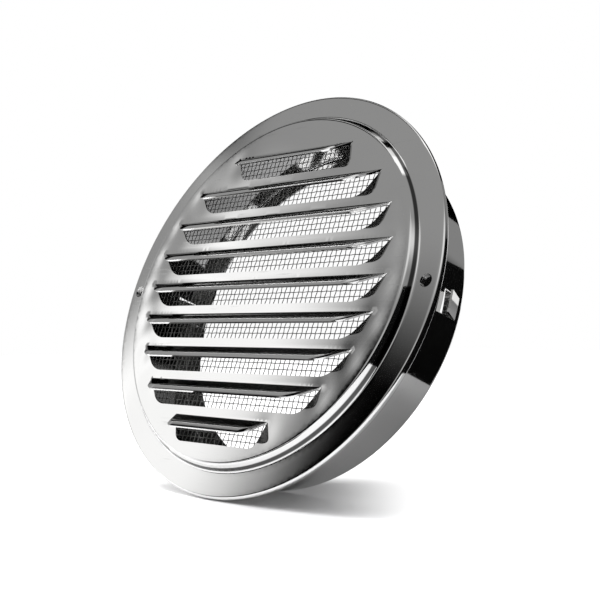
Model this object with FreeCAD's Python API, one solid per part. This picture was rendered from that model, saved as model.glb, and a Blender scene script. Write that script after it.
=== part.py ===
import FreeCAD, Part
import math
import os

from FreeCAD import Vector

# Round louvred air diffuser of polished stainless sheet, for a 160 mm duct.
# X runs along the louvres, Z is up the face, and Y runs back along the duct.
# The origin is on the duct's axis, in the plane where the rim meets the wall or ceiling.

# --- driving sizes, in millimetres and degrees ---

sheet = 0.8                 # steel sheet of the face plate and the collar

collar_r = 79.0             # outside of the collar, a slide fit in a 160 mm duct
collar_length = 29.0        # collar behind the mounting plane
collar_rear_r = 2.0         # outside radius of the collar's rear corner
collar_weld_gap = 0.1       # root gap between the collar and the flange ring welded to it
rear_lip_width = 9.0        # rear edge of the collar turned inwards

tongue_width = 9.0          # lanced spring tongues that grip the duct
tongue_length = 10.0
tongue_angle = 20.0
tongue_setback = 3.0        # from the collar's rear face to the tongue's root
lance_gap = 0.4             # cut around the three free sides of a tongue

rim_width = 11.0            # from the outside of the collar to the outside of the rim
rim_corner_r = 1.2          # outside radius of both bends of the rim
hem_width = 2.6             # rim edge folded inwards behind the collar's flange
hem_clearance = 0.6         # from the rim's inner wall to the pieces it holds

screw_hole_r = 2.65
screw_hole_inset = 5.6      # from the rim's outside to the centre of a screw hole

plateau_inset = 2.0         # front edge of the raised middle, inside the line of the collar
plateau_height = 4.0        # front of the plateau above the front of the flange
step_run = 2.4              # radius gained by the step from plateau down to flange
plateau_edge_r = 1.6        # outside radius of the plateau's edge
step_foot_r = 1.0           # front radius at the foot of the step

louvre_count = 9
louvre_pitch = 15.0
louvre_height = 11.2        # height of each slot, and developed length of its blade
louvre_angle = 45.0         # how far each blade is pressed out of the plateau
louvre_bend_r = 1.2         # inside radius of the bend along the blade's top
louvre_margin = 8.0         # from the plateau's edge to the circle of blade ends
louvre_row_shift = 1.8      # hinge line of the middle louvre above the axis
louvre_circle_shift = 3.6   # centre of the circle of blade ends above the axis
end_louvre_trim = 3.3       # extra shortening at each end of the first and last louvre
louvre_end_slope = 0.95     # sideways run of the longest blade's end per unit of height
louvre_corner_r = 12.5      # corner radius at the free edge of the longest blade

wire_d = 0.5                # woven insect screen, ten wires to the inch
wire_pitch = 2.54
screen_overlap = 2.3        # screen beyond the outside of the collar, held under the plate
ring_clearance = 0.3        # from the wire ends to the edge ring

# --- sizes that follow from them ---

rim_r = collar_r + rim_width
plateau_r = collar_r - plateau_inset
screen_r = collar_r + screen_overlap
screen_depth = 2 * wire_d
rim_depth = sheet + screen_depth + sheet + sheet
flange_front_y = -rim_depth
flange_back_y = flange_front_y + sheet
collar_flange_front_y = flange_back_y + screen_depth
collar_flange_back_y = collar_flange_front_y + sheet
plateau_front_y = flange_front_y - plateau_height
plateau_back_y = plateau_front_y + sheet
step_foot_radius = plateau_r + step_run
captured_r = rim_r - sheet - hem_clearance
screw_circle_r = rim_r - screw_hole_inset
louvre_circle_r = plateau_r - louvre_margin

AXIS = Vector(0, 1, 0)
CENTRE = Vector(0, 0, 0)


def rounded_wire(corners):
    """Closed wire through (point, radius) corners, with a tangent arc where a radius is given."""
    stations = []
    for index, (corner, radius) in enumerate(corners):
        before = corners[index - 1][0]
        after = corners[(index + 1) % len(corners)][0]
        if radius == 0:
            stations.append((corner, None, corner))
            continue
        back = (before - corner).normalize()
        ahead = (after - corner).normalize()
        half_angle = back.getAngle(ahead) / 2
        reach = radius / math.tan(half_angle)
        bisector = (back + ahead).normalize()
        middle = corner + bisector * (radius / math.sin(half_angle) - radius)
        stations.append((corner + back * reach, middle, corner + ahead * reach))
    edges = []
    for index, (start, middle, end) in enumerate(stations):
        if middle is not None:
            edges.append(Part.Arc(start, middle, end).toShape())
        next_start = stations[(index + 1) % len(stations)][0]
        if end.distanceToPoint(next_start) > 1e-6:
            edges.append(Part.makeLine(end, next_start))
    return Part.Wire(edges)


def turned(profile):
    """Solid of revolution about the duct's axis, from (radius, y, corner radius) points."""
    corners = [(Vector(radius, y, 0), corner_r) for radius, y, corner_r in profile]
    return Part.Face(rounded_wire(corners)).revolve(CENTRE, AXIS, 360)


def flat_ring(outer_r, inner_r, front_y, back_y):
    depth = back_y - front_y
    start = Vector(0, front_y, 0)
    return Part.makeCylinder(outer_r, depth, start, AXIS).cut(
        Part.makeCylinder(inner_r, depth, start, AXIS))


def screw_holes():
    """The two screw holes, as cylinders right through the rim."""
    start_y = flange_front_y - sheet
    length = rim_depth + 2 * sheet
    holes = []
    for side in (-1, 1):
        start = Vector(side * screw_circle_r, start_y, 0)
        holes.append(Part.makeCylinder(screw_hole_r, length, start, AXIS))
    return Part.makeCompound(holes)


# --- face plate ---

def pressed_plate():
    """Plateau, step, flat flange and the rim turned back and hemmed, as one sheet."""
    step_angle = math.atan2(plateau_height, step_run)
    bend_shift = sheet * math.tan(step_angle / 2)
    inner_corner_r = rim_corner_r - sheet
    rim_inner_r = rim_r - sheet
    hem_r = rim_r - hem_width
    return turned([
        (0, plateau_front_y, 0),
        (plateau_r, plateau_front_y, plateau_edge_r),
        (step_foot_radius, flange_front_y, step_foot_r),
        (rim_r, flange_front_y, rim_corner_r),
        (rim_r, 0, rim_corner_r),
        (hem_r, 0, 0),
        (hem_r, collar_flange_back_y, 0),
        (rim_inner_r, collar_flange_back_y, inner_corner_r),
        (rim_inner_r, flange_back_y, inner_corner_r),
        (step_foot_radius - bend_shift, flange_back_y, step_foot_r + sheet),
        (plateau_r - bend_shift, plateau_back_y, plateau_edge_r - sheet),
        (0, plateau_back_y, 0),
    ])


def louvre_hinges():
    """(height of the hinge line, half its length) of each louvre, from the top down."""
    top = louvre_row_shift + louvre_pitch * (louvre_count - 1) / 2
    hinges = []
    for index in range(louvre_count):
        height = top - index * louvre_pitch
        half_length = math.sqrt(louvre_circle_r ** 2 - (height - louvre_circle_shift) ** 2)
        if index in (0, louvre_count - 1):
            half_length -= end_louvre_trim
        hinges.append((height, half_length))
    return hinges


def louvre_prism(half_length, above, depth):
    """Outline of a blade hanging from z = 0, extended above it, as a prism along Y."""
    share = half_length / louvre_circle_r
    end_run = louvre_end_slope * share * louvre_height
    corner_r = louvre_corner_r * share
    corners = [
        (Vector(-half_length, 0, above), 0),
        (Vector(-half_length, 0, 0), 0),
        (Vector(-half_length + end_run, 0, -louvre_height), corner_r),
        (Vector(half_length - end_run, 0, -louvre_height), corner_r),
        (Vector(half_length, 0, 0), 0),
        (Vector(half_length, 0, above), 0),
    ]
    if above == 0:
        corners = corners[1:-1]
    prism = Part.Face(rounded_wire(corners)).extrude(Vector(0, depth, 0))
    prism.translate(Vector(0, -depth / 2, 0))
    return prism


def blade(height, half_length):
    """One louvre blade, rooted in the plateau and pressed out at its lower edge."""
    angle = math.radians(louvre_angle)
    out = Vector(0, math.cos(angle), -math.sin(angle))
    down = Vector(0, -math.sin(angle), -math.cos(angle))
    bend_centre = Vector(-half_length, plateau_front_y - louvre_bend_r, height)
    bend_length = angle * (louvre_bend_r + sheet / 2)
    flat_length = louvre_height - bend_length
    root = Vector(0, 0, sheet / 2)

    def bend_arc(radius):
        half = Vector(0, math.cos(angle / 2), -math.sin(angle / 2))
        start = bend_centre + AXIS * radius
        return Part.Arc(start, bend_centre + half * radius, bend_centre + out * radius).toShape()

    front_r = louvre_bend_r
    back_r = louvre_bend_r + sheet
    front_start = bend_centre + AXIS * front_r
    back_start = bend_centre + AXIS * back_r
    front_tip = bend_centre + out * front_r + down * flat_length
    back_tip = bend_centre + out * back_r + down * flat_length
    section = Part.Wire(Part.sortEdges([
        Part.makeLine(front_start + root, front_start),
        bend_arc(front_r),
        Part.makeLine(bend_centre + out * front_r, front_tip),
        Part.makeLine(front_tip, back_tip),
        Part.makeLine(back_tip, bend_centre + out * back_r),
        bend_arc(back_r),
        Part.makeLine(back_start, back_start + root),
        Part.makeLine(back_start + root, front_start + root),
    ])[0])
    strip = Part.Face(section).extrude(Vector(2 * half_length, 0, 0))
    outline = louvre_prism(half_length, louvre_bend_r + sheet, 4 * louvre_height)
    outline.rotate(CENTRE, Vector(1, 0, 0), -louvre_angle)
    outline.translate(Vector(0, bend_centre.y, height) + out * front_r - down * bend_length)
    return strip.common(outline)


def face_plate():
    plate = pressed_plate()
    slots = []
    blades = []
    for height, half_length in louvre_hinges():
        slot = louvre_prism(half_length, 0, 4 * sheet)
        slot.translate(Vector(0, plateau_front_y, height))
        slots.append(slot)
        blades.append(blade(height, half_length))
    plate = plate.cut(Part.makeCompound(slots)).cut(screw_holes())
    return plate.fuse(blades).removeSplitter()


# --- collar ---

def collar_shell():
    """Collar wall with its rear edge turned inwards."""
    inner_r = collar_r - sheet
    lip_r = collar_r - rear_lip_width
    return turned([
        (collar_r, collar_flange_front_y, 0),
        (collar_r, collar_length, collar_rear_r),
        (lip_r, collar_length, 0),
        (lip_r, collar_length - sheet, 0),
        (inner_r, collar_length - sheet, collar_rear_r - sheet),
        (inner_r, collar_flange_front_y, 0),
    ])


def tongue_and_window():
    """The right-hand spring tongue, bent out about its rear root, and the window it leaves."""
    root_y = collar_length - tongue_setback
    half_width = tongue_width / 2
    inner_r = collar_r - sheet
    front_y = root_y - tongue_length
    wall = flat_ring(collar_r, inner_r, front_y, root_y)
    reach = tongue_length
    block = Part.makeBox(reach, tongue_length, tongue_width,
                         Vector(collar_r - reach / 2, front_y, -half_width))
    tongue = wall.common(block)
    hinge_x = math.sqrt(inner_r ** 2 - half_width ** 2) + sheet / 4
    tongue.rotate(Vector(hinge_x, root_y, 0), Vector(0, 0, 1), tongue_angle)
    window = Part.makeBox(reach, tongue_length + lance_gap, tongue_width + 2 * lance_gap,
                          Vector(collar_r - reach / 2, front_y - lance_gap,
                                 -half_width - lance_gap))
    return tongue, window


def duct_collar():
    collar = collar_shell()
    tongue, window = tongue_and_window()
    for turn in (0, 180):
        placed_tongue = tongue.copy()
        placed_window = window.copy()
        placed_tongue.rotate(CENTRE, AXIS, turn)
        placed_window.rotate(CENTRE, AXIS, turn)
        collar = collar.cut(placed_window).fuse(placed_tongue)
    return collar


def collar_flange():
    """Flat ring welded round the collar's front edge and gripped by the plate's hem."""
    ring = flat_ring(captured_r, collar_r + collar_weld_gap,
                     collar_flange_front_y, collar_flange_back_y)
    return ring.cut(screw_holes())


# --- insect screen ---

def screen_edge_ring():
    """Flat ring round the screen, as thick as the mesh, that closes the seam around it."""
    ring = flat_ring(captured_r, screen_r + ring_clearance, flange_back_y, collar_flange_front_y)
    return ring.cut(screw_holes())


def screen_wires(direction, spread, layer_y):
    """One set of parallel wires, each cut to the screen's round edge."""
    wire_r = wire_d / 2
    last = int((screen_r - wire_pitch) / wire_pitch)
    wires = []
    for number in range(-last, last + 1):
        offset = number * wire_pitch
        half_length = math.sqrt(screen_r ** 2 - (abs(offset) + wire_r) ** 2)
        start = spread * offset - direction * half_length + AXIS * layer_y
        wires.append(Part.makeCylinder(wire_r, 2 * half_length, start, direction))
    return Part.makeCompound(wires)


def screen_upright_wires():
    layer_y = flange_back_y + wire_d / 2
    return screen_wires(Vector(0, 0, 1), Vector(1, 0, 0), layer_y)


def screen_cross_wires():
    layer_y = collar_flange_front_y - wire_d / 2
    return screen_wires(Vector(1, 0, 0), Vector(0, 0, 1), layer_y)


pieces = {
    "face_plate": face_plate(),
    "duct_collar": duct_collar(),
    "collar_flange": collar_flange(),
    "screen_edge_ring": screen_edge_ring(),
    "screen_upright_wires": screen_upright_wires(),
    "screen_cross_wires": screen_cross_wires(),
}

os.makedirs("parts", exist_ok=True)
for node, shape in pieces.items():
    shape.exportStep(f"parts/{node}.step")
    print(node, shape.isValid(), len(shape.Solids), round(shape.Volume, 1))
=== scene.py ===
import math

import bmesh
import bpy
import numpy as np
from mathutils import Matrix, Vector
from mathutils.geometry import delaunay_2d_cdt


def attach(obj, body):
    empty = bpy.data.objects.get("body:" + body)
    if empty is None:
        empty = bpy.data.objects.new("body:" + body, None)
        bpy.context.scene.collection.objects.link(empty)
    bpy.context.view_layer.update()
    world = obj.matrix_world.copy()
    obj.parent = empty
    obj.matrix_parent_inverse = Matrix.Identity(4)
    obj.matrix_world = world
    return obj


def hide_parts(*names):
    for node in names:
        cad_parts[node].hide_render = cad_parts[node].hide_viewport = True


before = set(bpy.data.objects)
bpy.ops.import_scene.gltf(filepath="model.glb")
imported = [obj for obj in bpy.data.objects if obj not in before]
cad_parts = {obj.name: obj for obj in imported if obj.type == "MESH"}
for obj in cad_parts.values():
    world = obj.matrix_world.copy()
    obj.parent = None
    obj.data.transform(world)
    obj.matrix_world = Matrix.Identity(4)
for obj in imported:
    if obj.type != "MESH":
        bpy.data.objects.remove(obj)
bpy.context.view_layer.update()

# --- Studio ---
# The diffuser stands on a pale floor on the lower edges of its rim and collar, leaning back.
# White and grey cards and a grey ceiling stand round it in a room that is otherwise black, so
# that the polished steel has something to show.

lean = math.radians(21.2)
floor_up = Vector((0, -math.sin(lean), math.cos(lean)))
floor_back = Vector((0, math.cos(lean), math.sin(lean)))
rim_foot = Vector((0, -0.00077, -0.08992))


class Tone:
    """A value on its way through a material's nodes, with the sums that change it."""

    def __init__(self, tree, socket):
        self.tree = tree
        self.socket = socket

    def made(self, kind, settings=None, sockets=None, out=0):
        node = self.tree.nodes.new(kind)
        for name, value in (settings or {}).items():
            setattr(node, name, value)
        for name, value in (sockets or {}).items():
            if isinstance(value, Tone):
                self.tree.links.new(value.socket, node.inputs[name])
            else:
                node.inputs[name].default_value = value
        return Tone(self.tree, node.outputs[out]) if node.outputs else None

    def maths(self, operation, *values):
        sockets = dict(enumerate((self, *values)))
        return self.made("ShaderNodeMath", {"operation": operation}, sockets)

    def __add__(self, other):
        return self.maths("ADD", other)

    __radd__ = __add__

    def __mul__(self, other):
        return self.maths("MULTIPLY", other)

    __rmul__ = __mul__

    def __sub__(self, other):
        return self.maths("SUBTRACT", other)

    def __rsub__(self, other):
        return self * -1 + other

    def rise(self, low, high):
        """0 at low, 1 at high, and a smooth climb between them; low may be the larger."""
        return self.made("ShaderNodeMapRange", {"interpolation_type": "SMOOTHSTEP"},
                         {"Value": self, "From Min": low, "From Max": high})


def started(tree, out):
    """An empty node tree and the coordinate that its material is laid out by."""
    tree.nodes.clear()
    return Tone(tree, None).made("ShaderNodeTexCoord", out=out)


def along(direction_tone, direction):
    """How far a direction runs along another one."""
    return direction_tone.made("ShaderNodeVectorMath", {"operation": "DOT_PRODUCT"},
                               {0: direction_tone, 1: direction}, "Value")


room = bpy.data.worlds.new("studio_room")
room.use_nodes = True
bpy.context.scene.world = room
sky = started(room.node_tree, "Generated")
bearing = along(sky, (1, 0, 0)).maths("ARCTAN2", along(sky, -floor_back)) * (180 / math.pi)
climb = along(sky, floor_up).maths("ARCSINE") * (180 / math.pi)



def panel(strength, left=None, right=None, bottom=None, top=None):
    """A soft-edged card; each edge says where its light is gone and where it is full."""
    light = strength
    for measure, edge in ((bearing, left), (bearing, right), (climb, bottom), (climb, top)):
        if edge:
            light = measure.rise(*edge) * light
    return light


ceiling = panel(0.31, left=(-64.5, -61.5), bottom=(28, 38))
white_card = panel(1.12, left=(-61.9, -59), right=(-46.8, -54), top=(37.5, 29))
left_wall = panel(0.31, left=(-111, -106), right=(-58, -61), top=(35.5, 32.5))
left_foot = panel(0.35, left=(-111, -106), right=(-58, -61), top=(23, 15))
high_card = panel(0.32, left=(-118, -114), right=(-90, -95), bottom=(31, 35))
high_lamp = panel(0.5, left=(-118, -114), right=(-98, -104), bottom=(49, 56))
right_card = panel(0.5, left=(0, 48), right=(110, 95), bottom=(22, 42), top=(61, 50))
front_glow = panel(0.3, left=(0, 14), right=(40, 20), bottom=(4, 12), top=(30, 18))
front_card = panel(0.28 + front_glow, left=(-24, -8), right=(110, 80), bottom=(-2, 8), top=(38, 28))
side_screen = panel(0.25, left=(152, 160), top=(32, 24))
back_cards = [panel(0.9, **side, **level)
              for side in ({"left": (150, 156)}, {"right": (-140, -148)})
              for level in ({"top": (13, 8)}, {"bottom": (42, 50)})]
glow = sum(back_cards, ceiling + white_card + left_wall + left_foot + high_card + high_lamp
           + right_card + front_card + side_screen)
seen = sky.made("ShaderNodeLightPath", out="Is Camera Ray")
backdrop = sky.made("ShaderNodeBackground", sockets={
    "Color": (1, 1, 1, 1), "Strength": seen + glow * (1 - seen)})
sky.made("ShaderNodeOutputWorld", sockets={"Surface": backdrop})

floor_half = 1.6
floor_mesh = bpy.data.meshes.new("floor")
floor_middle = rim_foot + floor_back * 0.1
floor_mesh.from_pydata(
    [floor_middle + Vector((x, 0, 0)) + floor_back * y
     for x, y in ((-floor_half, -floor_half), (floor_half, -floor_half),
                  (floor_half, floor_half), (-floor_half, floor_half))],
    [], [(0, 1, 2, 3)])
floor = bpy.data.objects.new("floor", floor_mesh)
bpy.context.scene.collection.objects.link(floor)
floor_paint = bpy.data.materials.new("pale_floor")
floor_paint.use_nodes = True
floor_mesh.materials.append(floor_paint)
spot = started(floor_paint.node_tree, "Object")
seen = spot.made("ShaderNodeLightPath", out="Is Camera Ray")
under = spot.made("ShaderNodeNewGeometry", out="Backfacing")
grain = spot.made("ShaderNodeTexNoise", sockets={"Vector": spot, "Scale": 9.0}, out="Fac")
# Painted shade: the floor's paint is made darker behind the rim's foot, standing in for the
# diffuser's shadow there.
behind = (along(spot, floor_back) - rim_foot.dot(floor_back)).rise(0.02, 0.12)
pale = 0.82 - behind * 0.5 + grain * 0.01
paint_tint = spot.made("ShaderNodeCombineColor", sockets={
    "Red": pale, "Green": pale, "Blue": pale * 1.01}, out="Color")
paint = spot.made("ShaderNodeBsdfDiffuse", sockets={"Color": paint_tint})
shade_way = (Vector((1, 0, 0)) + floor_back).normalized()
# Painted shadow: the camera-only lift that whitens the floor is halved near the rim's foot and cut
# further, to a tenth of that, at the contact, on top of the lamps' real shadow.
past_foot = along(spot, shade_way) - rim_foot.dot(shade_way)
side_way = (Vector((1, 0, 0)) - floor_back).normalized()
painted_shadow_zone = (along(spot, side_way) - rim_foot.dot(side_way)).rise(-0.06, -0.03)
painted_shadow_zone = painted_shadow_zone * past_foot.rise(0.1, 0.045)
painted_contact_shadow = painted_shadow_zone * past_foot.rise(-0.012, 0.002) * past_foot.rise(0.085, 0.03)
lift_with_painted_shadow = (1 - painted_shadow_zone * 0.5 + grain * 0.01) * (1 - painted_contact_shadow * 0.9)
lift = spot.made("ShaderNodeEmission", sockets={
    "Color": (1, 1, 1, 1), "Strength": seen * lift_with_painted_shadow})
lit = spot.made("ShaderNodeAddShader", sockets={0: paint, 1: lift})
clear = spot.made("ShaderNodeBsdfTransparent")
shown = spot.made("ShaderNodeMixShader", sockets={"Fac": under * seen, 1: lit, 2: clear})
spot.made("ShaderNodeOutputMaterial", sockets={"Surface": shown})


def soft_lamp(name, bearing_angle, climb_angle, distance, size, watts):
    """A square soft lamp that looks at the diffuser and isn't mirrored in it."""
    turn = math.radians(bearing_angle)
    rise = math.radians(climb_angle)
    level = Vector((math.sin(turn), 0, 0)) - floor_back * math.cos(turn)
    place = (level * math.cos(rise) + floor_up * math.sin(rise)) * distance
    lamp = bpy.data.lights.new(name, "AREA")
    lamp.size = size
    lamp.energy = watts
    made = bpy.data.objects.new(name, lamp)
    made.location = place
    made.rotation_euler = (-place).to_track_quat("-Z", "Y").to_euler()
    made.visible_glossy = False
    bpy.context.scene.collection.objects.link(made)


soft_lamp("key_lamp", -75, 64, 1.2, 0.6, 16)
soft_lamp("front_lamp", -30, 60, 1.4, 1.2, 8)

screen_feet = ((0.26, -0.6), (0.2, 0), (0.12, 0.105), (0.13, 0.42))
mat_corners = ((-0.1, -0.25), (0.02, -0.25), (0.04, -0.05), (-0.1, -0.05))
screen_height = 0.12
mat_height = 0.0005
black_card_mesh = bpy.data.meshes.new("black_card")
black_card_mesh.from_pydata(
    [rim_foot + Vector((x, 0, 0)) + floor_back * y + floor_up * z
     for z, feet in ((0, screen_feet), (screen_height, screen_feet), (mat_height, mat_corners))
     for x, y in feet],
    [], [(0, 1, 5, 4), (1, 2, 6, 5), (2, 3, 7, 6), (8, 9, 10, 11)])
black_card = bpy.data.objects.new("black_card", black_card_mesh)
black_card.visible_camera = False
black_card.visible_diffuse = False
black_card.visible_shadow = False
bpy.context.scene.collection.objects.link(black_card)
velvet = bpy.data.materials.new("black_velvet")
velvet.use_nodes = True
black_card_mesh.materials.append(velvet)
nap = started(velvet.node_tree, "Object")
nap_cloth = nap.made("ShaderNodeBsdfDiffuse", sockets={"Color": (0.004, 0.004, 0.004, 1)})
nap.made("ShaderNodeOutputMaterial", sockets={"Surface": nap_cloth})

camera_lens = 61.336
camera_place = Vector((0.30768, -0.27626, -0.12086))
camera_right = Vector((0.720897, 0.648898, 0.243389))
camera_up = Vector((0.019098, -0.369656, 0.928972))
camera_back = camera_right.cross(camera_up)
camera_data = bpy.data.cameras.new("camera")
camera_data.lens = camera_lens
camera_data.sensor_width = 36
camera_data.clip_start = 0.01
camera = bpy.data.objects.new("camera", camera_data)
turned_to = Matrix((camera_right, camera_up, camera_back)).transposed()
camera.matrix_world = Matrix.Translation(camera_place) @ turned_to.to_4x4()
bpy.context.scene.collection.objects.link(camera)
bpy.context.scene.camera = camera
bpy.context.scene.view_settings.view_transform = "Standard"

# --- Face plate ---
# One disc of 0.8 mm stainless sheet, pressed to a raised plateau and a flat flange, with its
# edge turned back and hemmed. Nine louvre blades are lanced from the plateau and pressed out,
# steep at the top with a flatter lip, and the front is mirror-polished.

millimetre = 0.001
sheet = 0.8
sheet_spokes = 360
rim_r = 90.0
rim_corner_r = 1.2
hem_width = 2.6
screen_depth = 1.0
flange_front = -3.4
flange_back = flange_front + sheet
collar_flange_front = flange_back + screen_depth
collar_flange_back = collar_flange_front + sheet
plateau_r = 77.0
plateau_height = 4.0
plateau_front = flange_front - plateau_height
plateau_back = plateau_front + sheet
plateau_edge_r = 1.6
step_run = 2.4
step_foot = plateau_r + step_run
step_foot_r = 1.0
flat_run = 5.0
row_spacing = 0.866
weld_reach = 2e-6
sliver = 1e-7
screw_r = 2.65
screw_circle_r = 84.4


def rounded(corners, step=7.5):
    """An open path through (a, b, radius) corners, with an arc where a radius is given."""
    path = []
    for index, (a, b, radius) in enumerate(corners):
        corner = Vector((a, b))
        if radius == 0:
            path.append(corner)
            continue
        before = (Vector(corners[index - 1][:2]) - corner).normalized()
        after = (Vector(corners[index + 1][:2]) - corner).normalized()
        half = before.angle(after) / 2
        first = corner + before * (radius / math.tan(half))
        last = corner + after * (radius / math.tan(half))
        centre = corner + (before + after).normalized() * (radius / math.sin(half))
        turn = math.pi - 2 * half
        count = max(3, math.ceil(math.degrees(turn) / step))
        for number in range(count + 1):
            share = number / count
            weights = (math.sin((1 - share) * turn), math.sin(share * turn))
            path.append(centre + ((first - centre) * weights[0]
                                  + (last - centre) * weights[1]) / math.sin(turn))
    return path


def circle(radius, across=0.0, count=sheet_spokes):
    """Points of a circle in the plane of the face, round a centre on the X axis."""
    turns = [2 * math.pi * number / count for number in range(count)]
    return [Vector((across + radius * math.cos(turn), radius * math.sin(turn)))
            for turn in turns]


def within(places, loop):
    """Which of the places lie inside a closed loop."""
    ends = np.array(loop)
    starts = np.roll(ends, 1, axis=0)
    x, z = places[:, 0:1], places[:, 1:2]
    spans = (starts[:, 1] > z) != (ends[:, 1] > z)
    slope = (ends[:, 0] - starts[:, 0]) / (ends[:, 1] - starts[:, 1] + 1e-12)
    crossing = starts[:, 0] + (z - starts[:, 1]) * slope
    return (spans & (x < crossing)).sum(axis=1) % 2 == 1


class Blank:
    """Sheet metal as it is made up, in millimetres, before its patches are joined."""

    def __init__(self):
        self.corners = []
        self.faces = []
        self.sides = []

    def strip(self, *rows, closed=False, side=0):
        """Quads between neighbouring rows of points, on the front or the back of the sheet."""
        for near, far in zip(rows, rows[1:]):
            first = len(self.corners)
            count = len(near)
            self.corners += [*near, *far]
            for index in range(count if closed else count - 1):
                after = (index + 1) % count
                self.faces.append((first + index, first + after,
                                   first + count + after, first + count + index))
                self.sides.append(side)

    def turned(self, path, side=0):
        """A path of (radius, depth) points turned round the duct's axis."""
        rows = [[Vector((p.x, depth, p.y)) for p in circle(radius)] for radius, depth in path]
        self.strip(*rows, closed=True, side=side)

    def flat(self, depth, outer, holes, spacing, side=0):
        """A flat patch inside one loop and outside the others."""
        loops = [outer, *holes]
        border = [point for loop in loops for point in loop]
        edges = []
        for loop in loops:
            first = len(edges)
            count = len(loop)
            edges += [(first + index, first + (index + 1) % count) for index in range(count)]
        reach = max(point.length for point in outer)
        rows = np.arange(-reach, reach, spacing * row_spacing)
        columns = np.arange(-reach, reach, spacing)
        mesh_x, mesh_z = np.meshgrid(columns, rows)
        mesh_x[::2] += spacing / 2
        spots = np.stack([mesh_x.ravel(), mesh_z.ravel()], axis=1)
        gaps = np.linalg.norm(spots[:, None] - np.array(border)[None], axis=2).min(axis=1)
        good = within(spots, outer) & (gaps > spacing * 0.5)
        for hole in holes:
            good &= ~within(spots, hole)
        places = border + [Vector(spot) for spot in spots[good]]
        places, _, triangles, *_ = delaunay_2d_cdt(places, edges, [], 0, 1e-6, False)
        plan = np.array(places)
        middles = plan[np.array(triangles)].mean(axis=1)
        kept = within(middles, outer)
        for hole in holes:
            kept &= ~within(middles, hole)
        first = len(self.corners)
        self.corners += [Vector((place[0], depth, place[1])) for place in places]
        kept_faces = [tuple(first + corner for corner in triangle)
                      for triangle, keep in zip(triangles, kept) if keep]
        self.faces += kept_faces
        self.sides += [side] * len(kept_faces)

    def joined(self, name, finishes, node, shaped=None):
        """The finished piece: patches welded, and its CAD node replaced."""
        mesh = bpy.data.meshes.new(name)
        corners = [shaped(corner) if shaped else corner for corner in self.corners]
        mesh.from_pydata([corner * millimetre for corner in corners], [], self.faces)
        if self.sides:
            mesh.polygons.foreach_set("material_index", self.sides)
        form = bmesh.new()
        form.from_mesh(mesh)
        bmesh.ops.remove_doubles(form, verts=form.verts, dist=weld_reach)
        bmesh.ops.dissolve_degenerate(form, edges=form.edges, dist=sliver)
        bmesh.ops.delete(form, geom=[v for v in form.verts if not v.link_faces], context="VERTS")
        bmesh.ops.recalc_face_normals(form, faces=form.faces)
        form.to_mesh(mesh)
        form.free()
        mesh.shade_smooth()
        mesh.set_sharp_from_angle(angle=math.radians(40))
        for finish in finishes:
            mesh.materials.append(finish)
        piece = bpy.data.objects.new(name, mesh)
        bpy.context.scene.collection.objects.link(piece)
        even = piece.modifiers.new("even_faces", "WEIGHTED_NORMAL")
        even.keep_sharp = True
        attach(piece, "root")
        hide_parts(node)
        return piece


def polished_steel():
    """Mirror-polished stainless: waviness, haze and buffing lines, with painted shade on the louvre
    blades' steep faces and in the step's wall.
    """
    finish = bpy.data.materials.new("polished_steel")
    finish.use_nodes = True
    place = started(finish.node_tree, "Object")

    def noise(scale, detail, stretch=(1, 1, 1)):
        spread = place.made("ShaderNodeMapping", sockets={"Vector": place, "Scale": stretch})
        return place.made("ShaderNodeTexNoise", sockets={
            "Vector": spread, "Scale": scale, "Detail": detail}, out="Fac")

    haze = noise(38, 4)
    buffing = noise(900, 3, (0.06, 1, 1))
    specks = noise(2600, 2)
    scratches = buffing.rise(0.62, 0.72) * noise(45, 2).rise(0.5, 0.62)
    waviness = noise(26, 1.5)
    depth = place.made("ShaderNodeSeparateXYZ", sockets={"Vector": place}, out="Y") * 1000
    # Painted shade: each louvre blade's steep face, found by its depth below the plateau, is
    # darkened to 0.4 of the steel's tone.
    blade_face_painted_shade = (depth.rise(plateau_front - 0.2, plateau_front - 0.7)
                  * depth.rise(plateau_front - 5.6, plateau_front - 5.0))
    # Painted shade: a band of the step's wall next to the flange is darkened to 0.1 of the steel's
    # tone.
    step_wall_painted_shade = (depth.rise(flange_front - 2.3, flange_front - 1.8)
                 * depth.rise(flange_front - 0.3, flange_front - 0.8))
    tint = (0.80 + haze * 0.05 - scratches * 0.05) * (1 - blade_face_painted_shade * 0.6 - step_wall_painted_shade * 0.9)
    tinted = place.made("ShaderNodeCombineColor", sockets={
        "Red": tint, "Green": tint * 0.998, "Blue": tint * 0.99}, out="Color")
    roughness = 0.03 + haze * 0.035 + scratches * 0.08 + specks * 0.012
    relief = place.made("ShaderNodeBump", sockets={
        "Strength": 1.0, "Distance": 0.00003, "Height": waviness}, out="Normal")
    fine = place.made("ShaderNodeBump", sockets={
        "Strength": 0.25, "Distance": 0.000004, "Height": buffing, "Normal": relief},
        out="Normal")
    surface = place.made("ShaderNodeBsdfPrincipled", sockets={
        "Base Color": tinted, "Metallic": 1.0, "Roughness": roughness, "Normal": fine})
    place.made("ShaderNodeOutputMaterial", sockets={"Surface": surface})
    return finish


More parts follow.
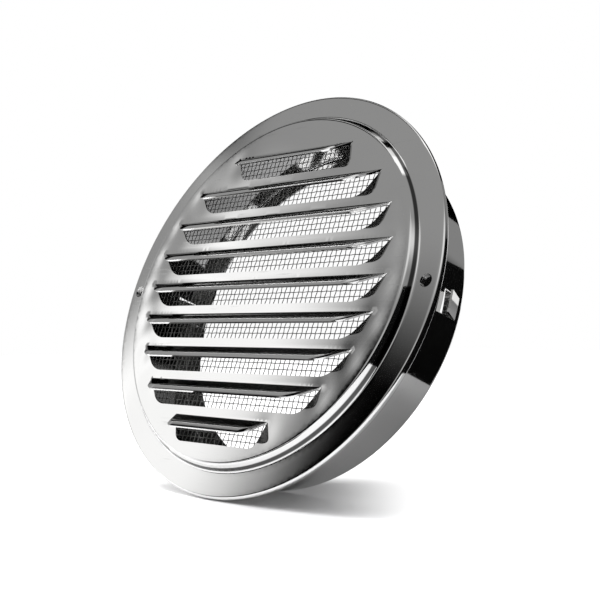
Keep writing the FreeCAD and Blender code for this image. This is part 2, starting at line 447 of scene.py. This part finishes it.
def painted_dark_back():
    """The sheet's back: a faintly mottled satin, its tone painted near black as shade under the
    blades and behind the plate.
    """
    finish = bpy.data.materials.new("painted_dark_back")
    finish.use_nodes = True
    place = started(finish.node_tree, "Object")
    mottle = place.made("ShaderNodeTexNoise", sockets={
        "Vector": place, "Scale": 220.0, "Detail": 5.0}, out="Fac")
    # Painted shade: the base tone is held near black, far darker than bare sheet; only the mottle
    # is the sheet's own.
    tint = 0.05 + mottle * 0.05
    tinted = place.made("ShaderNodeCombineColor", sockets={
        "Red": tint, "Green": tint, "Blue": tint * 0.985}, out="Color")
    relief = place.made("ShaderNodeBump", sockets={
        "Strength": 0.3, "Distance": 0.00001, "Height": mottle}, out="Normal")
    surface = place.made("ShaderNodeBsdfPrincipled", sockets={
        "Base Color": tinted, "Metallic": 1.0, "Roughness": 0.32 + mottle * 0.12,
        "Normal": relief})
    place.made("ShaderNodeOutputMaterial", sockets={"Surface": surface})
    return finish


louvre_count = 9
louvre_pitch = 15.0
louvre_height = 11.2
blade_length = 10.28
blade_tilts = ((0, 0), (0.04, 40), (0.08, 57), (0.66, 55), (0.78, 33), (1, 27))
louvre_margin = 8.0
louvre_circle_r = plateau_r - louvre_margin
louvre_row_shift = 1.8
louvre_circle_shift = 3.6
end_louvre_trim = 3.3
louvre_end_slope = 0.95
louvre_corner_r = 12.5
blade_rows = (*np.linspace(0, 0.1, 6), *np.linspace(0.2, 0.6, 3), *np.linspace(0.66, 1, 12))


def louvre_outline(half_length):
    """Lower outline of a slot, and of the blade cut from it, from one hinge end to the other."""
    share = half_length / louvre_circle_r
    end_run = louvre_end_slope * share * louvre_height
    path = rounded([
        (-half_length, 0, 0),
        (-half_length + end_run, -louvre_height, louvre_corner_r * share),
        (half_length - end_run, -louvre_height, louvre_corner_r * share),
        (half_length, 0, 0)], 5)
    fine = [path[0]]
    for point in path[1:]:
        span = point - fine[-1]
        count = max(1, round(span.length / 2.4))
        begin = fine[-1]
        fine += [begin + span * (number / count) for number in range(1, count + 1)]
    return fine


def blade_section():
    """(out, down, tilt) of the longest blade's face at each row, with a length of 1."""
    section = []
    out = down = last = 0.0
    shares, tilts = zip(*blade_tilts)
    for share in blade_rows:
        for step in np.linspace(last, share, 12)[1:]:
            tilt = math.radians(np.interp(step, shares, tilts))
            out += (step - last) * math.sin(tilt)
            down += (step - last) * math.cos(tilt)
            last = step
        section.append((out, down, math.radians(np.interp(share, shares, tilts))))
    return section


def blade_rows_at(hinge_height, lower, inset):
    """Rows of points over a blade's face, or behind it by the sheet's thickness."""
    rows = []
    for out, down, tilt in blade_section():
        rows.append([])
        for point in lower:
            size = -point.y / louvre_height * blade_length
            rows[-1].append(Vector((
                point.x, plateau_front - out * size + inset * math.cos(tilt),
                hinge_height - down * size - inset * math.sin(tilt))))
    return rows


plate = Blank()
edge_path = rounded([
    (plateau_r - flat_run, plateau_front, 0), (plateau_r, plateau_front, plateau_edge_r),
    (step_foot, flange_front, step_foot_r), (step_foot + flat_run, flange_front, 0)])[1:-1]
rim_path = rounded([
    (rim_r - flat_run, flange_front, 0), (rim_r, flange_front, rim_corner_r),
    (rim_r, 0, rim_corner_r), (rim_r - hem_width, 0, 0),
    (rim_r - hem_width, collar_flange_back, 0),
    (rim_r - sheet, collar_flange_back, rim_corner_r - sheet),
    (rim_r - sheet, flange_back, rim_corner_r - sheet),
    (rim_r - flat_run, flange_back, 0)])[1:-1]
bend_shift = sheet * math.tan(math.atan2(plateau_height, step_run) / 2)
back_path = rounded([
    (step_foot + flat_run, flange_back, 0),
    (step_foot - bend_shift, flange_back, step_foot_r + sheet),
    (plateau_r - bend_shift, plateau_back, plateau_edge_r - sheet),
    (plateau_r - flat_run, plateau_back, 0)])[1:-1]
plate.turned(edge_path)
plate.turned(rim_path)
plate.turned(back_path, side=1)
screw_holes = [circle(screw_r, side * screw_circle_r, 48) for side in (-1, 1)]
for side, depth, outer, inner in ((0, flange_front, rim_path[0][0], edge_path[-1][0]),
                                  (1, flange_back, rim_path[-1][0], back_path[0][0])):
    plate.flat(depth, circle(outer), [circle(inner), *screw_holes], 2.0, side)
for hole in screw_holes:
    plate.strip(*[[Vector((p.x, depth, p.y)) for p in hole]
                  for depth in (flange_front, flange_back)], closed=True)

slots = []
slot_ends = []
for number in range(louvre_count):
    hinge_height = louvre_row_shift + louvre_pitch * ((louvre_count - 1) / 2 - number)
    half_length = math.sqrt(louvre_circle_r ** 2 - (hinge_height - louvre_circle_shift) ** 2)
    if number in (0, louvre_count - 1):
        half_length -= end_louvre_trim
    lower = louvre_outline(half_length)
    hinge = [Vector((point.x, hinge_height)) for point in lower]
    edge = [Vector((point.x, hinge_height + point.y)) for point in lower]
    slots.append(edge + hinge[-2:0:-1])
    slot_ends += [(side * half_length, hinge_height) for side in (-1, 1)]
    plate.strip(*[[Vector((p.x, depth, p.y)) for p in edge]
                  for depth in (plateau_front, plateau_back)])
    face = blade_rows_at(hinge_height, lower, 0)
    rear = blade_rows_at(hinge_height, lower, sheet)
    plate.strip(*face, rear[-1])
    plate.strip(*rear, side=1)
for side, depth, path in ((0, plateau_front, edge_path[0]), (1, plateau_back, back_path[-1])):
    plate.flat(depth, circle(path[0]), slots, 2.2, side)


dip_depth = 0.07
dip_reach = 5.0
dip_drop = 3
dip_squash = 0.8
dip_limit_r = plateau_r - 1
dip_fade = 4


def drawn(corner):
    """The sheet dips a little where the lancing pulled it at each slot's ends."""
    radius = math.hypot(corner.x, corner.z)
    if radius > dip_limit_r:
        return corner
    dip = 0.0
    for across, height in slot_ends:
        apart = math.hypot(corner.x - across, (corner.z - height + dip_drop) * dip_squash)
        dip += dip_depth * math.exp(-(apart / dip_reach) ** 2)
    fade = min(1, (dip_limit_r - radius) / dip_fade)
    return corner + Vector((0, dip * fade, 0))


steel = polished_steel()
# The back finish carries painted shade: its tone is held near black.
dull = painted_dark_back()
plate.joined("louvred_face", (steel, dull), "face_plate", drawn)

# --- Duct collar ---
# A short spun cylinder of the same sheet that slides into the duct. Its rear edge turns
# inwards, and a spring tongue is lanced from the wall on each side to grip the duct.

collar_r = 79.0
collar_inner_r = collar_r - sheet
collar_length = 29.0
collar_rear_r = 2.0
rear_lip_width = 9.0
lip_r = collar_r - rear_lip_width
lip_run = 4
wall_row = 6.0
tongue_root = 26.0
tongue_length = 10.0
tongue_angle = math.radians(20)
tongue_bend_r = 2.0
tongue_half_width = 4.5
lance_gap = 0.4
window_front = tongue_root - tongue_length - lance_gap
window_turn = math.degrees(math.asin((tongue_half_width + lance_gap) / collar_r))
tongue_turn = math.degrees(math.asin(tongue_half_width / collar_r))
tongue_columns = 7
wall_columns = 174
far_tongue = tongue_columns + wall_columns
collar_turns = [*np.linspace(-tongue_turn, tongue_turn, tongue_columns),
                *np.linspace(window_turn, 180 - window_turn, wall_columns),
                *np.linspace(180 - tongue_turn, 180 + tongue_turn, tongue_columns),
                *np.linspace(180 + window_turn, 360 - window_turn, wall_columns)]


def collar_row(radius, depth):
    """A ring of points round the wall, closer together across the tongues."""
    return [Vector((radius * math.cos(math.radians(turn)), depth,
                    radius * math.sin(math.radians(turn)))) for turn in collar_turns]


def tongue_point(turn, side, radius, run):
    """A point of a tongue, run forward from its root along the wall it was cut from."""
    bend_r = tongue_bend_r + collar_r - radius
    bend = min(run / tongue_bend_r, tongue_angle)
    flat = max(0, run - tongue_bend_r * tongue_angle)
    out = bend_r * (1 - math.cos(bend)) + flat * math.sin(bend)
    depth = tongue_root - bend_r * math.sin(bend) - flat * math.cos(bend)
    return Vector((radius * math.cos(math.radians(turn)) + side * out, depth,
                   radius * math.sin(math.radians(turn))))


collar = Blank()
wall_path = [(collar_r, collar_flange_front), (collar_r, wall_row), (collar_r, window_front),
             (collar_r, tongue_root)]
lip_path = [*rounded([(collar_r, tongue_root, 0), (collar_r, collar_length, collar_rear_r),
                      (lip_r, collar_length, 0)])[1:-1],
            Vector((lip_r + lip_run, collar_length)), Vector((lip_r, collar_length)),
            Vector((lip_r, collar_length - sheet)),
            Vector((lip_r + lip_run, collar_length - sheet)),
            *rounded([(lip_r, collar_length - sheet, 0),
                      (collar_inner_r, collar_length - sheet, collar_rear_r - sheet),
                      (collar_inner_r, tongue_root, 0)])[1:-1]]
inner_path = [(radius - sheet, depth) for radius, depth in reversed(wall_path)]
path = [*wall_path, *lip_path, *inner_path, wall_path[0]]
window_rows = {wall_path[2][1], wall_path[3][1]}
count = len(collar_turns)
for near, far in zip(path, path[1:]):
    rows = [collar_row(*near), collar_row(*far)]
    if {near[1], far[1]} == window_rows and near[0] == far[0]:
        for between in (slice(tongue_columns, far_tongue),
                        slice(far_tongue + tongue_columns, count)):
            collar.strip(rows[0][between], rows[1][between])
    else:
        collar.strip(*rows, closed=True)
walls = [[collar_row(radius, depth) for depth in (window_front, tongue_root)]
         for radius in (collar_r, collar_inner_r)]
for side, first in ((1, 0), (-1, far_tongue)):
    after = first + tongue_columns
    columns = [(first - 1) % count, *range(first, after), after % count]
    front = [[wall[0][column] for column in columns] for wall in walls]
    rear = [[wall[1][column] for column in columns] for wall in walls]
    collar.strip(*front)
    for ends in (slice(0, 2), slice(-2, None)):
        collar.strip(rear[0][ends], rear[1][ends])
    for end in (0, -1):
        collar.strip([front[0][end], rear[0][end]], [front[1][end], rear[1][end]])
    runs = [0, *np.linspace(0, tongue_bend_r * tongue_angle, 5)[1:], 2.5, 5, 7.5, tongue_length]
    turns = [collar_turns[column] for column in columns[1:-1]]
    skins = [[[tongue_point(place, side, radius, run) for place in turns] for run in runs]
             for radius in (collar_r, collar_inner_r)]
    collar.strip(*skins[0], *reversed(skins[1]))
    for end in (0, -1):
        collar.strip(*[[row[end] for row in skin] for skin in skins])
collar.joined("duct_collar_shell", (steel,), "duct_collar")

# --- Collar flange ---
# A flat ring of plain sheet welded round the collar's front edge. The hem of the face plate
# is closed over its outer edge, and the two screws pass through it.

hem_clearance = 0.6
weld_gap = 0.1
captured_r = rim_r - sheet - hem_clearance


def plain_steel():
    """Mill-finished sheet: soft lines from rolling over a dull, slightly uneven grey."""
    finish = bpy.data.materials.new("plain_steel")
    finish.use_nodes = True
    place = started(finish.node_tree, "Object")
    spread = place.made("ShaderNodeMapping", sockets={"Vector": place, "Scale": (0.05, 1, 1)})
    lines = place.made("ShaderNodeTexNoise", sockets={
        "Vector": spread, "Scale": 1400.0, "Detail": 4.0}, out="Fac")
    patches = place.made("ShaderNodeTexNoise", sockets={
        "Vector": place, "Scale": 60.0, "Detail": 5.0}, out="Fac")
    tint = 0.56 + lines * 0.08 + patches * 0.06
    tinted = place.made("ShaderNodeCombineColor", sockets={
        "Red": tint, "Green": tint, "Blue": tint * 0.985}, out="Color")
    relief = place.made("ShaderNodeBump", sockets={
        "Strength": 0.4, "Distance": 0.00001, "Height": lines}, out="Normal")
    surface = place.made("ShaderNodeBsdfPrincipled", sockets={
        "Base Color": tinted, "Metallic": 1.0, "Roughness": 0.26 + lines * 0.12,
        "Normal": relief})
    place.made("ShaderNodeOutputMaterial", sockets={"Surface": surface})
    return finish


def flat_ring(name, outer_r, inner_r, front, back, node):
    """A flat ring of sheet with the two screw holes through it."""
    ring = Blank()
    loops = [circle(outer_r), circle(inner_r), *screw_holes]
    for depth in (front, back):
        ring.flat(depth, loops[0], loops[1:], 2.0)
    for loop in loops:
        ring.strip(*[[Vector((p.x, depth, p.y)) for p in loop] for depth in (front, back)],
                   closed=True)
    ring.joined(name, (plain,), node)


plain = plain_steel()
flat_ring("welded_flange", captured_r, collar_r + weld_gap, collar_flange_front,
          collar_flange_back, "collar_flange")

# --- Screen edge ring ---
# A flat ring that fills the gap between the plate and the collar's flange, around the cut
# ends of the screen.

screen_r = 81.3
ring_clearance = 0.3
flat_ring("seam_ring", captured_r, screen_r + ring_clearance, flange_back, collar_flange_front,
          "screen_edge_ring")

# --- Insect screen ---
# Plain-woven cloth of fine stainless wire, ten wires to the inch, cut round. Each wire
# passes over one crossing wire and under the next, and its ends lie between the sheets.

wire_d = 0.34
wire_pitch = 2.54
wire_crimp = wire_d / 2
wire_sides = 6
wire_steps = 3
shortest_step = 0.2
screen_middle = flange_back + wire_d


def wire_steel():
    """Drawn wire: fine drawing lines, duller and darker in patches of dust."""
    finish = bpy.data.materials.new("screen_wire")
    finish.use_nodes = True
    place = started(finish.node_tree, "Object")
    drawn_lines = place.made("ShaderNodeTexNoise", sockets={
        "Vector": place, "Scale": 3800.0, "Detail": 3.0}, out="Fac")
    dust = place.made("ShaderNodeTexNoise", sockets={
        "Vector": place, "Scale": 120.0, "Detail": 4.0}, out="Fac")
    tint = 0.42 + drawn_lines * 0.12 - dust * 0.08
    tinted = place.made("ShaderNodeCombineColor", sockets={
        "Red": tint, "Green": tint, "Blue": tint * 0.98}, out="Color")
    relief = place.made("ShaderNodeBump", sockets={
        "Strength": 0.3, "Distance": 0.00001, "Height": drawn_lines}, out="Normal")
    surface = place.made("ShaderNodeBsdfPrincipled", sockets={
        "Base Color": tinted, "Metallic": 1.0, "Roughness": 0.3 + dust * 0.15,
        "Normal": relief})
    place.made("ShaderNodeOutputMaterial", sockets={"Surface": surface})
    return finish


def woven(name, node, upright):
    """All the wires that run one way, waved over and under the ones that cross them."""
    last = int((screen_r - wire_pitch) / wire_pitch)
    corners = []
    faces = []
    for number in range(-last, last + 1):
        offset = number * wire_pitch
        half_length = math.sqrt(screen_r ** 2 - (abs(offset) + wire_d / 2) ** 2)
        inner = int(half_length / wire_pitch * wire_steps)
        runs = [step * wire_pitch / wire_steps for step in range(-inner, inner + 1)]
        runs = [-half_length, *[run for run in runs if abs(run) < half_length - shortest_step],
                half_length]
        wave = (-1) ** number * wire_crimp * (-1 if upright else 1)
        first = len(corners)
        for run in runs:
            depth = screen_middle + wave * math.cos(math.pi * run / wire_pitch)
            for side in range(wire_sides):
                turn = 2 * math.pi * side / wire_sides
                sideways = offset + wire_d / 2 * math.cos(turn)
                place = (sideways, run) if upright else (run, sideways)
                corners.append(Vector((place[0], depth + wire_d / 2 * math.sin(turn), place[1])))
        for ring in range(len(runs) - 1):
            for side in range(wire_sides):
                after = (side + 1) % wire_sides
                near = first + ring * wire_sides
                faces.append((near + side, near + after,
                              near + wire_sides + after, near + wire_sides + side))
        faces.append(tuple(first + side for side in range(wire_sides)))
        faces.append(tuple(first + (len(runs) - 1) * wire_sides + side
                           for side in range(wire_sides)))
    cloth = Blank()
    cloth.corners = corners
    cloth.faces = faces
    return cloth.joined(name, (wire,), node)


wire = wire_steel()
woven("upright_wires", "screen_upright_wires", True)
woven("cross_wires", "screen_cross_wires", False)
